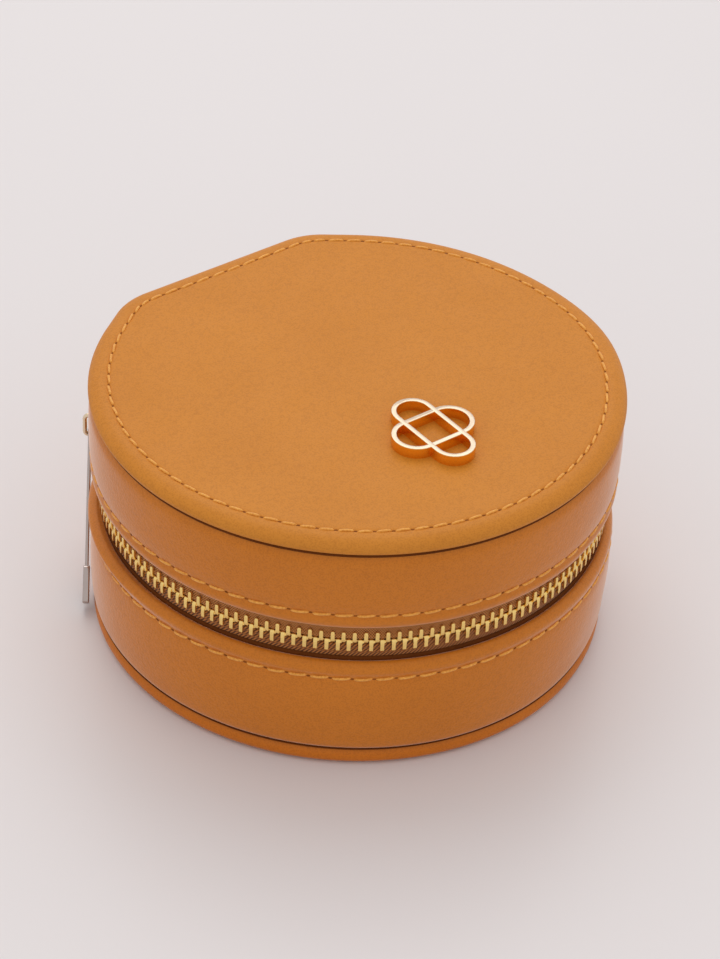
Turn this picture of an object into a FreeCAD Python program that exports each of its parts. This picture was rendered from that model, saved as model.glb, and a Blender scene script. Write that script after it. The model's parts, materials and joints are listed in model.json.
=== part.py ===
import FreeCAD, Part
import math
import os

# Round zip-around leather jewellery case, in millimetres.
# Origin: on the floor plane, on the axis of the round zip. +Z is up, the hinge is at +Y,
# and the front is at -Y. The plan is a circle whose back is cut to a short flat for the hinge.
# Heights are measured from the floor. An inset is a distance inward from the plan's outline.

Vec = FreeCAD.Vector

# Plan of the case
RADIUS = 58.0
FLAT_Y = 53.8            # distance of the hinge flat from the axis
TANGENT_DEG = 55.0       # where the straight shoulders leave the circle
BASE_PANEL_INSET = 0.8   # the bottom panel is a little smaller than the lid
CORNER_RADIUS = 16.0     # rounding between a shoulder and the flat

# Heights
BASE_PANEL_TOP = 4.2     # top of the wrapped bottom panel
BASE_WALL_TOP = 27.9     # folded top edge of the lower wall
LID_WALL_BOTTOM = 37.4   # folded lower edge of the lid's wall
LID_PANEL_BOTTOM = 57.0
LID_TOP = 60.4
ZIP_Z = 32.9             # middle of the closed teeth

# Thicknesses
PANEL_LEATHER = 1.2
PANEL_FOLD = 1.0
LID_FOLD = 0.8
LEATHER_INNER = 2.7      # inset of the wall leather's inner face
CORE_INNER = 4.7         # inset of the stiff wall board's inner face
LINING_INNER = 5.7       # inset of the lining's inner face
LINING_CARD = 1.0

# Zip
TAPE_OUTER = 2.75
TAPE_INNER = 3.25
TEETH_LOW = 30.4
TEETH_HIGH = 35.4
TOOTH_REACH = 3.0        # length of a tooth along Z, so that the rows interlock
TOOTH_WIDTH = 1.05
TOOTH_R_INNER = 54.0
TOOTH_R_OUTER = 56.0
TOOTH_PITCH_DEG = 2.377
CHAIN_START_DEG = 125.2
CHAIN_END_DEG = 400.4
TAPE_HIDDEN = 7.8        # depth of the tape sewn in behind the leather
STOP_START_DEG = 120.8
STOP_END_DEG = 404.1

# Slider and its pull
SLIDER_DEG = 126.0       # where the slider stands with the case closed
SLIDER_HALF = 4.2
PULL_YAW_DEG = 18.0      # the pull turns in towards the wall as it hangs
PULL_LEAN_DEG = 42.0     # the pull is longer than it is high, so its tip rests beside the wall
BAIL_PIN_R = 57.9
BAIL_REACH = 4.7
BAIL_HALF_HEIGHT = 2.6
BAIL_WIRE = 0.55
TAB_OFFSET = 3.6         # middle of the tab's thickness, out from the bail's pin
TAB_LENGTH = 38.0
STEM_THICKNESS = 1.0
STEM_HALF_WIDTH = 1.0
GRIP_THICKNESS = 1.4     # the broader end that the fingers hold
GRIP_HALF_WIDTH = 2.2
GRIP_LENGTH = 8.5
TAB_EYE_R = 1.6
TAB_HOLE_R = 0.85

# Hinge strip across the flat
HINGE_HALF_WIDTH = 18.8

# Inside of the base
FLOOR_TOP = 5.0
DIVIDER_TOP = 21.0
DIVIDER = 2.0
ROLL_ZONE_BACK = 14.0
ROLL_ZONE_FRONT = -35.0
ROLL_ZONE_HALF = 35.0
ROLL_COUNT = 4
ROLL_GAP = 0.35
ROLL_TOP = 19.0

# Mirror in the lid
MIRROR_R = 36.0
FRAME_R = 41.0
FRAME_LIP_R = 34.5
FRAME_BOTTOM = 52.6

# Emblem on the lid: two long loops that cross, measured to the middle of the stroke
EMBLEM_Y = -26.0
LOOP_LONG_Y = 11.0
LOOP_NARROW_X = 4.1
LOOP_LONG_X = 9.2
LOOP_NARROW_Y = 4.7
EMBLEM_STROKE = 1.15
EMBLEM_HEIGHT = 2.5
PIN_RADIUS = 0.5
WASHER_RADIUS = 2.5
WASHER = 0.6


def outline(inset, z):
    """Closed wire of the plan, moved inward by inset, at height z."""
    r = RADIUS - inset
    flat = FLAT_Y - inset
    fillet = max(CORNER_RADIUS - inset, 1.0)
    a = math.radians(TANGENT_DEG)
    corner_x = (r - flat * math.sin(a)) / math.cos(a)
    cut = fillet * math.tan((math.pi / 2 - a) / 2)
    start = Vec(r * math.cos(a), r * math.sin(a), z)
    bend = Vec(corner_x + cut * math.sin(a), flat - cut * math.cos(a), z)
    level = Vec(corner_x - cut, flat, z)
    mid_angle = (a + math.pi / 2) / 2
    centre = Vec(bend.x - fillet * math.cos(a), bend.y - fillet * math.sin(a), z)
    middle = centre + Vec(math.cos(mid_angle), math.sin(mid_angle), 0) * fillet

    def mirrored(point):
        return Vec(-point.x, point.y, point.z)

    edges = [
        Part.Arc(mirrored(start), Vec(0, -r, z), start).toShape(),
        Part.LineSegment(start, bend).toShape(),
        Part.Arc(bend, middle, level).toShape(),
        Part.LineSegment(level, mirrored(level)).toShape(),
        Part.Arc(mirrored(level), mirrored(middle), mirrored(bend)).toShape(),
        Part.LineSegment(mirrored(bend), mirrored(start)).toShape(),
    ]
    return Part.Wire(edges)


def plate(inset, z0, z1):
    return Part.Face(outline(inset, z0)).extrude(Vec(0, 0, z1 - z0))


def ring(inset_out, inset_in, z0, z1):
    return plate(inset_out, z0, z1).cut(plate(inset_in, z0, z1))


def bulged_wall(levels):
    """Wall leather whose outer face follows (height, inset) levels."""
    outer = Part.makeLoft([outline(inset, z) for z, inset in levels], True, True)
    return outer.cut(plate(LEATHER_INNER, levels[0][0], levels[-1][0]))


def box(x0, x1, y0, y1, z0, z1):
    return Part.makeBox(x1 - x0, y1 - y0, z1 - z0, Vec(x0, y0, z0))


def cylinder(radius, height, base, axis=Vec(0, 0, 1)):
    return Part.makeCylinder(radius, height, base, axis)


def rounded_at(shape, z, radius):
    """Rounds every edge of the shape that lies flat at height z."""
    edges = [e for e in shape.Edges
             if abs(e.BoundBox.ZMin - z) < 1e-4 and abs(e.BoundBox.ZMax - z) < 1e-4]
    return shape.makeFillet(radius, edges)


def turned(shape, degrees, centre=Vec(0, 0, 0), axis=Vec(0, 0, 1)):
    copy = shape.copy()
    copy.rotate(centre, axis, degrees)
    return copy


def save(name, shape):
    """Writes one sub-part, as a single solid or as a group of separate solids."""
    solids = shape.Solids
    result = solids[0] if len(solids) == 1 else Part.makeCompound(solids)
    if not all(s.isValid() and s.isClosed() for s in solids):
        raise ValueError(name + " is not a valid closed solid")
    result.exportStep("parts/" + name + ".step")
    print(name, len(solids), "solids", round(result.Volume, 1), "mm3")


def wrapped_panel(inset, z0, z1, board_low, board_high, fold_low, fold_high):
    """Leather folded round a board: a plate with a rolled rim and an inward fold."""
    body = plate(inset, z0, z1)
    body = rounded_at(body, z0, 2.0 if z0 == 0 else 1.2)
    body = rounded_at(body, z1, 1.2 if z0 == 0 else 2.0)
    body = body.cut(plate(inset + PANEL_LEATHER, board_low, board_high))
    return body.cut(plate(CORE_INNER, fold_low, fold_high))


def shell_parts():
    """Leather, boards and linings of the base and the lid."""
    hinge_gap = box(-HINGE_HALF_WIDTH, HINGE_HALF_WIDTH, FLAT_Y - 8, FLAT_Y + 8, 0, LID_TOP)
    base_board_top = BASE_PANEL_TOP - PANEL_FOLD
    lid_board_bottom = LID_PANEL_BOTTOM + LID_FOLD
    lid_board_top = LID_TOP - PANEL_LEATHER
    lining_top = BASE_WALL_TOP - 0.5
    lid_lining_low = LID_WALL_BOTTOM - 0.5
    lid_card_low = LID_PANEL_BOTTOM - LINING_CARD
    pins = Part.makeCompound(emblem_pins())

    save("base_panel_leather", wrapped_panel(
        BASE_PANEL_INSET, 0.0, BASE_PANEL_TOP, PANEL_LEATHER, base_board_top, base_board_top, BASE_PANEL_TOP))
    save("base_board", plate(BASE_PANEL_INSET + PANEL_LEATHER, PANEL_LEATHER, base_board_top))
    save("base_wall_leather", bulged_wall([
        (BASE_PANEL_TOP, 1.2), (7.0, 0.3), (20.0, 0.2), (23.9, 0.6), (24.5, 0.6),
        (26.4, 0.3), (27.4, 0.6), (BASE_WALL_TOP, 1.4)]))
    save("base_wall_board", ring(LEATHER_INNER, CORE_INNER, BASE_PANEL_TOP, TEETH_LOW - TAPE_HIDDEN))
    save("base_floor_lining", plate(LINING_INNER, base_board_top, FLOOR_TOP))
    base_lining = ring(CORE_INNER, LINING_INNER, base_board_top, lining_top)
    save("base_wall_lining", base_lining.fuse(
        ring(TAPE_INNER, CORE_INNER, lining_top - 1.4, lining_top)).removeSplitter())

    save("lid_panel_leather", wrapped_panel(
        0.0, LID_PANEL_BOTTOM, LID_TOP, lid_board_bottom, lid_board_top,
        LID_PANEL_BOTTOM, lid_board_bottom).cut(pins))
    save("lid_board", plate(PANEL_LEATHER, lid_board_bottom, lid_board_top).cut(pins))
    save("lid_wall_leather", bulged_wall([
        (LID_WALL_BOTTOM, 1.4), (37.9, 0.6), (38.9, 0.3), (40.9, 0.6), (41.5, 0.6),
        (45.0, 0.2), (54.0, 0.2), (56.2, 0.5), (LID_PANEL_BOTTOM, 1.1)]))
    save("lid_wall_board", ring(
        LEATHER_INNER, CORE_INNER, TEETH_HIGH + TAPE_HIDDEN + 0.5, LID_PANEL_BOTTOM))
    lid_lining = ring(CORE_INNER, LINING_INNER, lid_lining_low, lid_card_low)
    save("lid_wall_lining", lid_lining.fuse(
        ring(TAPE_INNER, CORE_INNER, lid_lining_low, lid_lining_low + 1.4)).removeSplitter())
    save("lid_panel_lining", plate(CORE_INNER, lid_card_low, LID_PANEL_BOTTOM))

    strip = ring(1.4, LEATHER_INNER, BASE_WALL_TOP, LID_WALL_BOTTOM)
    save("hinge_leather", strip.common(hinge_gap))
    inner_strip = ring(CORE_INNER, LINING_INNER, lining_top, lid_lining_low)
    save("hinge_lining", inner_strip.common(hinge_gap))

    save("base_zip_tape", ring(
        TAPE_OUTER, TAPE_INNER, TEETH_LOW - TAPE_HIDDEN, TEETH_LOW).cut(hinge_gap))
    save("lid_zip_tape", ring(
        TAPE_OUTER, TAPE_INNER, TEETH_HIGH, TEETH_HIGH + TAPE_HIDDEN).cut(hinge_gap))

    save("base_wall_thread", ring(0.4, 0.6, 23.95, 24.45))
    save("lid_wall_thread", ring(0.4, 0.6, 40.95, 41.45))
    save("lid_panel_thread", ring(4.2, 4.8, LID_TOP, LID_TOP + 0.2))


def zip_parts():
    """Two interlocking rows of teeth and the stops at both ends of the chain."""
    count = int((CHAIN_END_DEG - CHAIN_START_DEG) / TOOTH_PITCH_DEG)
    half = TOOTH_WIDTH / 2
    low_tooth = box(TOOTH_R_INNER, TOOTH_R_OUTER, -half, half, TEETH_LOW, TEETH_LOW + TOOTH_REACH)
    high_tooth = box(TOOTH_R_INNER, TOOTH_R_OUTER, -half, half, TEETH_HIGH - TOOTH_REACH, TEETH_HIGH)
    low_row = []
    high_row = []
    for i in range(count):
        angle = CHAIN_START_DEG + i * TOOTH_PITCH_DEG
        low_row.append(turned(low_tooth, angle))
        high_row.append(turned(high_tooth, angle + TOOTH_PITCH_DEG / 2))
    save("base_zip_teeth", Part.makeCompound(low_row))
    save("lid_zip_teeth", Part.makeCompound(high_row))

    low_stop = box(54.2, 55.8, -0.7, 0.7, TEETH_LOW, ZIP_Z - 0.1)
    high_stop = box(54.2, 55.8, -0.7, 0.7, ZIP_Z + 0.1, TEETH_HIGH)
    ends = (STOP_START_DEG, STOP_END_DEG)
    save("base_zip_stops", Part.makeCompound([turned(low_stop, a) for a in ends]))
    save("lid_zip_stops", Part.makeCompound([turned(high_stop, a) for a in ends]))


def slider_parts():
    """Slider, bail and pull tab, made with the slider at angle zero and then turned into place."""
    low = ZIP_Z - 3.4
    high = ZIP_Z + 3.4
    wing_in = TOOTH_R_INNER - 0.2
    wing_out = TOOTH_R_OUTER + 0.2

    def wing(x0, x1):
        body = box(x0, x1, -SLIDER_HALF, SLIDER_HALF, low, high)
        corners = [e for e in body.Edges if e.BoundBox.XLength > 0.5]
        return body.makeFillet(1.4, corners)

    slider = wing(wing_out, wing_out + 1.0).fuse(wing(wing_in - 1.0, wing_in))
    rail = SLIDER_HALF - 1.4
    for x0, x1 in ((wing_out - 0.7, wing_out), (wing_in, wing_in + 0.7)):
        slider = slider.fuse(box(x0, x1, -rail, rail, low, low + 0.7))
        slider = slider.fuse(box(x0, x1, -rail, rail, high - 0.7, high))
    slider = slider.fuse(box(wing_in, wing_out, -4.0, -2.4, ZIP_Z - 0.8, ZIP_Z + 0.8))
    bridge_foot = wing_out + 1.0
    bridge_top = bridge_foot + 2.3
    bridge = box(bridge_foot, bridge_top, -3.2, 3.2, ZIP_Z - 0.8, ZIP_Z + 0.8)
    shoulders = [e for e in bridge.Edges
                 if e.BoundBox.ZLength > 1 and abs(e.BoundBox.XMin - bridge_top) < 1e-4]
    bridge = bridge.makeFillet(1.0, shoulders)
    bridge = bridge.cut(box(bridge_foot, bridge_foot + 1.4, -2.0, 2.0, ZIP_Z - 1, ZIP_Z + 1))
    slider = slider.fuse(bridge).removeSplitter()
    save("zip_slider", turned(slider, SLIDER_DEG))

    inner_x = BAIL_PIN_R
    outer_x = BAIL_PIN_R + BAIL_REACH
    bail = None
    for z in (ZIP_Z - BAIL_HALF_HEIGHT, ZIP_Z + BAIL_HALF_HEIGHT):
        arm = cylinder(BAIL_WIRE, BAIL_REACH, Vec(inner_x, 0, z), Vec(1, 0, 0))
        bail = arm if bail is None else bail.fuse(arm)
    for x in (inner_x, outer_x):
        bail = bail.fuse(cylinder(
            BAIL_WIRE, 2 * BAIL_HALF_HEIGHT, Vec(x, 0, ZIP_Z - BAIL_HALF_HEIGHT)))
        for z in (ZIP_Z - BAIL_HALF_HEIGHT, ZIP_Z + BAIL_HALF_HEIGHT):
            bail = bail.fuse(Part.makeSphere(BAIL_WIRE, Vec(x, 0, z)))

    eye_z = ZIP_Z - BAIL_HALF_HEIGHT
    middle = BAIL_PIN_R + TAB_OFFSET
    stem_x = middle - STEM_THICKNESS / 2
    grip_x = middle - GRIP_THICKNESS / 2
    tip_z = eye_z - TAB_LENGTH
    grip_z = tip_z + GRIP_LENGTH
    eye_base = Vec(stem_x, 0, eye_z)
    out = Vec(1, 0, 0)
    tab = box(grip_x, grip_x + GRIP_THICKNESS, -GRIP_HALF_WIDTH, GRIP_HALF_WIDTH, tip_z, grip_z)
    corners = [e for e in tab.Edges if e.BoundBox.XLength > 0.5]
    tab = tab.makeFillet(0.8, corners)
    tab = tab.fuse(box(stem_x, stem_x + STEM_THICKNESS, -STEM_HALF_WIDTH, STEM_HALF_WIDTH,
                       grip_z - 1.0, eye_z))
    tab = tab.fuse(cylinder(TAB_EYE_R, STEM_THICKNESS, eye_base, out))
    tab = tab.cut(cylinder(TAB_HOLE_R, STEM_THICKNESS, eye_base, out)).removeSplitter()
    tab = turned(tab, PULL_LEAN_DEG, Vec(BAIL_PIN_R, 0, eye_z), out)

    pin = Vec(BAIL_PIN_R, 0, 0)
    save("pull_bail", turned(turned(bail.removeSplitter(), PULL_YAW_DEG, pin), SLIDER_DEG))
    save("pull_tab", turned(turned(tab, PULL_YAW_DEG, pin), SLIDER_DEG))


def emblem_pins():
    """Two pins that hold the emblem through the lid, at two crossings of its loops."""
    low = LID_PANEL_BOTTOM + LID_FOLD - WASHER
    height = LID_TOP - low
    return [cylinder(PIN_RADIUS, height, Vec(x, EMBLEM_Y + y, low)) for x, y in pin_spots()]


def pin_spots():
    return ((-LOOP_NARROW_X, LOOP_NARROW_Y), (LOOP_NARROW_X, -LOOP_NARROW_Y))


def loop_plate(half_x, half_y):
    """A plate of the emblem's height with two round ends, twice half_x by twice half_y."""
    end = min(half_x, half_y)
    run_x = half_x - end
    run_y = half_y - end
    body = None
    for sign in (-1, 1):
        spot = Vec(sign * run_x, EMBLEM_Y + sign * run_y, LID_TOP)
        disc = cylinder(end, EMBLEM_HEIGHT, spot)
        body = disc if body is None else body.fuse(disc)
    wide = run_x if run_y == 0 else end
    tall = end if run_y == 0 else run_y
    return body.fuse(box(-wide, wide, EMBLEM_Y - tall, EMBLEM_Y + tall,
                         LID_TOP, LID_TOP + EMBLEM_HEIGHT))


def loop(half_x, half_y):
    """One long loop of the emblem, its stroke centred on the given half sizes."""
    half = EMBLEM_STROKE / 2
    return loop_plate(half_x + half, half_y + half).cut(loop_plate(half_x - half, half_y - half))


def emblem_parts():
    emblem = loop(LOOP_NARROW_X, LOOP_LONG_Y).fuse(loop(LOOP_LONG_X, LOOP_NARROW_Y))
    for pin in emblem_pins():
        emblem = emblem.fuse(pin)
    save("emblem", emblem.removeSplitter())

    low = LID_PANEL_BOTTOM + LID_FOLD - WASHER
    washers = []
    for x, y in pin_spots():
        spot = Vec(x, EMBLEM_Y + y, low)
        washers.append(cylinder(WASHER_RADIUS, WASHER, spot).cut(cylinder(PIN_RADIUS, WASHER, spot)))
    save("emblem_washers", Part.makeCompound(washers))


def interior_parts():
    """Dividers and ring rolls in the base, and the mirror in the lid."""
    half = DIVIDER / 2
    room = plate(LINING_INNER, FLOOR_TOP, DIVIDER_TOP)
    back = ROLL_ZONE_BACK + DIVIDER
    save("divider_cross", box(
        -RADIUS, RADIUS, ROLL_ZONE_BACK, back, FLOOR_TOP, DIVIDER_TOP).common(room))
    save("divider_back", box(-half, half, back, FLAT_Y, FLOOR_TOP, DIVIDER_TOP).common(room))
    side = ROLL_ZONE_HALF + DIVIDER
    front = ROLL_ZONE_FRONT - DIVIDER
    save("divider_left", box(
        -side, -ROLL_ZONE_HALF, front, ROLL_ZONE_BACK, FLOOR_TOP, DIVIDER_TOP).common(room))
    save("divider_right", box(
        ROLL_ZONE_HALF, side, front, ROLL_ZONE_BACK, FLOOR_TOP, DIVIDER_TOP).common(room))
    save("divider_front", box(
        -ROLL_ZONE_HALF, ROLL_ZONE_HALF, front, ROLL_ZONE_FRONT, FLOOR_TOP, DIVIDER_TOP))

    pitch = (ROLL_ZONE_BACK - ROLL_ZONE_FRONT) / ROLL_COUNT
    radius = (pitch - ROLL_GAP) / 2
    length = 2 * (ROLL_ZONE_HALF - ROLL_GAP)
    for i in range(ROLL_COUNT):
        y = ROLL_ZONE_FRONT + pitch * (i + 0.5)
        start = Vec(-length / 2, y, ROLL_TOP - radius)
        roll = box(-length / 2, length / 2, y - radius, y + radius, FLOOR_TOP, ROLL_TOP - radius)
        roll = roll.fuse(cylinder(radius, length, start, Vec(1, 0, 0))).removeSplitter()
        save("ring_roll_" + str(i + 1), roll)

    card_low = LID_PANEL_BOTTOM - LINING_CARD
    glass_top = card_low - 0.8
    glass_low = FRAME_BOTTOM + 0.8
    save("mirror_card", cylinder(MIRROR_R + 2, 0.8, Vec(0, 0, glass_top)))
    save("mirror_glass", cylinder(MIRROR_R, glass_top - glass_low, Vec(0, 0, glass_low)))
    profile = [Vec(FRAME_LIP_R, 0, FRAME_BOTTOM), Vec(FRAME_R, 0, FRAME_BOTTOM),
               Vec(FRAME_R, 0, card_low), Vec(MIRROR_R + 2, 0, card_low),
               Vec(MIRROR_R + 2, 0, glass_top), Vec(MIRROR_R, 0, glass_top),
               Vec(MIRROR_R, 0, glass_low), Vec(FRAME_LIP_R, 0, glass_low),
               Vec(FRAME_LIP_R, 0, FRAME_BOTTOM)]
    frame = Part.Face(Part.makePolygon(profile)).revolve(Vec(0, 0, 0), Vec(0, 0, 1), 360)
    save("mirror_frame", frame)


shell_parts()
zip_parts()
slider_parts()
emblem_parts()
interior_parts()
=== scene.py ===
import json
import math

import bmesh
import bpy
import numpy as np
from mathutils import Matrix, Vector, noise


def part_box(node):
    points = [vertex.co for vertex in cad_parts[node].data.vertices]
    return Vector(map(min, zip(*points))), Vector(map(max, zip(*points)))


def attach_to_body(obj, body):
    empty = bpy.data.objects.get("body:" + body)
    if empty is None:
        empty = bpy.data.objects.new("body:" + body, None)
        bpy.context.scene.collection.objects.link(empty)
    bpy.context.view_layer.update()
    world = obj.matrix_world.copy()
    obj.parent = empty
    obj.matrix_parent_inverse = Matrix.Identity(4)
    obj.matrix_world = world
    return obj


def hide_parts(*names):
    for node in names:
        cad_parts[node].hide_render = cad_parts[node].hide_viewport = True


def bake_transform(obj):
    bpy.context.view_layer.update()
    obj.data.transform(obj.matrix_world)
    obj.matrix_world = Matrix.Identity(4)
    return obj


# Round zip-around leather jewellery case. Lengths are metres; MM turns millimetres into metres.
# An inset is a distance inward from the plan's outline, and t is a distance along the outline,
# counter-clockwise from the middle of the hinge flat.

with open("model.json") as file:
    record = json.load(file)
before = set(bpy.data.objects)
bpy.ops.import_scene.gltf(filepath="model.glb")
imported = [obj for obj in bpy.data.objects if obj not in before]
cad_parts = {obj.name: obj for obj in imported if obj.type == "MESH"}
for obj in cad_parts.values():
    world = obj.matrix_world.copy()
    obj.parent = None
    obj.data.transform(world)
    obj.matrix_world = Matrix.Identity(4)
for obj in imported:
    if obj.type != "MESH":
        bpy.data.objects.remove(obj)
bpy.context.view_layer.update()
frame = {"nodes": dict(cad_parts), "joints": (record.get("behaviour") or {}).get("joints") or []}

MM = 0.001


def top_of(node):
    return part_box(node)[1].z


def bottom_of(node):
    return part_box(node)[0].z


# Plan of the case
RADIUS = -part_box("lid_panel_leather")[0].y
FLAT_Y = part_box("lid_panel_leather")[1].y
TANGENT = math.radians(55.0)
CORNER = 16.0 * MM
FINE = 1.0    # share of the full mesh density

# Heights
PANEL_TOP = top_of("base_panel_leather")
WALL_TOP = top_of("base_wall_leather")
LID_WALL_LOW = bottom_of("lid_wall_leather")
LID_LOW = bottom_of("lid_panel_leather")
LID_TOP = top_of("lid_panel_leather")
TEETH_LOW = bottom_of("base_zip_teeth")
TEETH_HIGH = top_of("lid_zip_teeth")
ZIP_Z = (TEETH_LOW + TEETH_HIGH) / 2
LINING_TOP = top_of("base_wall_lining")
LID_LINING_LOW = bottom_of("lid_wall_lining")
FLOOR_TOP = top_of("base_floor_lining")
HINGE_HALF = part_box("hinge_leather")[1].x

joint_by_name = {joint["name"]: joint for joint in frame["joints"]}
bail_pin = Vector(joint_by_name["pull_turn"]["pos_m"])
SLIDER_ANGLE = math.atan2(bail_pin.y, bail_pin.x)
PIN_R = Vector((bail_pin.x, bail_pin.y)).length


# ------ plan of the case

def plan_lengths():
    corner_x = (RADIUS - FLAT_Y * math.sin(TANGENT)) / math.cos(TANGENT)
    turn = math.pi / 2 - TANGENT
    cut = CORNER * math.tan(turn / 2)
    shoulder_start = Vector((RADIUS * math.cos(TANGENT), RADIUS * math.sin(TANGENT)))
    shoulder = (Vector((corner_x, FLAT_Y)) - shoulder_start).length - cut
    half_arc = (TANGENT + math.pi / 2) * RADIUS
    return corner_x - cut, CORNER * turn, shoulder, half_arc


FLAT_HALF, CORNER_ARC, SHOULDER, HALF_ARC = plan_lengths()
HALF_PLAN = FLAT_HALF + CORNER_ARC + SHOULDER + HALF_ARC
PLAN = 2 * HALF_PLAN


def plan_point(t):
    """Point of the outline and its outward normal, at distance t along it."""
    t = t % PLAN
    side = -1.0
    if t > HALF_PLAN:
        t = PLAN - t
        side = 1.0
    if t < FLAT_HALF:
        x, y, nx, ny = t, FLAT_Y, 0.0, 1.0
    elif t < FLAT_HALF + CORNER_ARC:
        a = math.pi / 2 - (t - FLAT_HALF) / CORNER
        nx, ny = math.cos(a), math.sin(a)
        x, y = FLAT_HALF + CORNER * nx, FLAT_Y - CORNER + CORNER * ny
    elif t < FLAT_HALF + CORNER_ARC + SHOULDER:
        run = FLAT_HALF + CORNER_ARC + SHOULDER - t
        nx, ny = math.cos(TANGENT), math.sin(TANGENT)
        x, y = RADIUS * nx - run * ny, RADIUS * ny + run * nx
    else:
        a = TANGENT - (t - FLAT_HALF - CORNER_ARC - SHOULDER) / RADIUS
        nx, ny = math.cos(a), math.sin(a)
        x, y = RADIUS * nx, RADIUS * ny
    return side * x, y, side * nx, ny


def place(t, inset, z):
    x, y, nx, ny = plan_point(t)
    return Vector((x - nx * inset, y - ny * inset, z))


# ------ mesh helpers

def new_object(name, mesh):
    obj = bpy.data.objects.new(name, mesh)
    bpy.context.scene.collection.objects.link(obj)
    return obj


def finish_mesh(name, bm, material, smooth=True):
    mesh = bpy.data.meshes.new(name)
    bmesh.ops.recalc_face_normals(bm, faces=bm.faces)
    bm.to_mesh(mesh)
    bm.free()
    mesh.materials.append(material)
    for polygon in mesh.polygons:
        polygon.use_smooth = smooth
    return new_object(name, mesh)


def join_rings(bm, rings, looped=False, capped=False):
    """Skins rings of vertices. looped joins the last ring to the first; capped closes both ends."""
    after = rings[1:] + rings[:1] if looped else rings[1:]
    for a, b in zip(rings, after):
        for k in range(len(a)):
            j = (k + 1) % len(a)
            bm.faces.new((a[k], a[j], b[j], b[k]))
    if capped:
        bm.faces.new(rings[0])
        bm.faces.new(list(reversed(rings[-1])))


def circle(radius, count):
    """Points round a circle, counter-clockwise from the first axis."""
    turns = [2 * math.pi * k / count for k in range(count)]
    return [(radius * math.cos(a), radius * math.sin(a)) for a in turns]


# How far the soft shell is out of round, at which angle and over how many degrees
LID_FULLER = (0.9 * MM, -15.0, 16.0)
FOOT_DRAWN_IN = (-0.8 * MM, -55.0, 24.0)
FOOT_FADE = (10.0 * MM, 22.0 * MM)      # the foot's change fades out between these heights


def out_of_round(obj, body):
    """The lid is fuller on the right, and the foot of the base is drawn in at the front right."""
    amount, middle, spread = LID_FULLER if body == "lid" else FOOT_DRAWN_IN
    low, high = FOOT_FADE
    for v in obj.data.vertices:
        x, y, z = v.co
        reach = math.hypot(x, y)
        angle = math.degrees(math.atan2(y, x))
        move = amount * math.exp(-((angle - middle) / spread) ** 2)
        if body == "base":
            move *= min(1.0, max(0.0, (high - z) / (high - low)))
        share = move * (reach / RADIUS) ** 4 / max(reach, MM)
        v.co.x += x * share
        v.co.y += y * share


def attach(obj, body, slot, *nodes):
    if body in ("lid", "base") and slot in ("leather", "thread"):
        out_of_round(obj, body)
    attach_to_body(obj, body)
    if nodes:
        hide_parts(*nodes)
    return obj


def rounded(points, closed=True, per=6):
    """A smooth curve (Catmull-Rom) through a few profile points given in millimetres."""
    per = max(2, int(round(per * FINE)))
    pts = [np.array(p, float) * MM for p in points]
    count = len(pts)
    out = []
    for i in range(count if closed else count - 1):
        if closed:
            p0, p1, p2, p3 = pts[i - 1], pts[i], pts[(i + 1) % count], pts[(i + 2) % count]
        else:
            p0, p1 = pts[max(i - 1, 0)], pts[i]
            p2, p3 = pts[i + 1], pts[min(i + 2, count - 1)]
        for k in range(per):
            u = k / per
            out.append(0.5 * (2 * p1 + (p2 - p0) * u + (2 * p0 - 5 * p1 + 4 * p2 - p3) * u * u
                              + (3 * p1 - p0 - 3 * p2 + p3) * u ** 3))
    if not closed:
        out.append(pts[-1])
    return out


def softness(x, y, z, size, seed):
    """Slow, seeded waviness in metres, for leather that isn't perfectly even."""
    return size * noise.noise(Vector((x * 38 + seed, y * 38, z * 30)))


SLOUCH_TOWARD = Vector((-0.94, 0.34))
SLOUCH_AMOUNT = 1.0 * MM
SLOUCH_Z = 26.8 * MM
SLOUCH_HALF = 1.3 * MM
OUTER_FACE = 2.4 * MM         # only the outer face of the leather spreads


def slouch(x, y, z):
    """How far the soft rolled edge of the base has spread beside the pull, in metres."""
    toward = SLOUCH_TOWARD.dot(Vector((x, y))) / RADIUS
    band = math.exp(-((z - SLOUCH_Z) / SLOUCH_HALF) ** 2)
    return SLOUCH_AMOUNT * band * max(0.0, toward) ** 10


def sweep(name, profile, material, t_range=None, wave=0.0, seed=0.0, step=0.55, spread=None):
    """Sweeps a closed (inset, z) profile along the outline, all round or over t_range.
    UV is the distance along the outline and along the profile, in millimetres."""
    start, end = t_range if t_range else (0.0, PLAN)
    count = max(8, int((end - start) / (step * MM) * FINE))
    bm = bmesh.new()
    uv = bm.loops.layers.uv.new("UVMap")
    along = [0.0]
    for a, b in zip(profile, profile[1:] + profile[:1]):
        along.append(along[-1] + float(np.linalg.norm(b - a)))
    rings = []
    stations = count if t_range is None else count + 1
    for i in range(stations):
        t = start + (end - start) * i / count
        x, y, nx, ny = plan_point(t)
        ring = []
        for inset, z in profile:
            shift = softness(x, y, z, wave, seed) if wave else 0.0
            if spread and inset < OUTER_FACE:
                shift -= spread(x, y, z)
            ring.append(bm.verts.new((x - nx * (inset + shift), y - ny * (inset + shift), z)))
        rings.append(ring)
    size = len(profile)
    for i in range(count):
        ring_a = rings[i]
        ring_b = rings[(i + 1) % stations]
        for k in range(size):
            face = bm.faces.new((ring_a[k], ring_a[(k + 1) % size],
                                 ring_b[(k + 1) % size], ring_b[k]))
            u0 = (end - start) * i / count / MM
            u1 = (end - start) * (i + 1) / count / MM
            corners = ((u0, along[k]), (u0, along[k + 1]), (u1, along[k + 1]), (u1, along[k]))
            for loop, (u, v) in zip(face.loops, corners):
                loop[uv].uv = (u, v / MM)
    if t_range is not None:
        bm.faces.new(rings[0])
        bm.faces.new(list(reversed(rings[-1])))
    return finish_mesh(name, bm, material)


FACE_MIDDLE = (0.0, -2.0 * MM)


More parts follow.
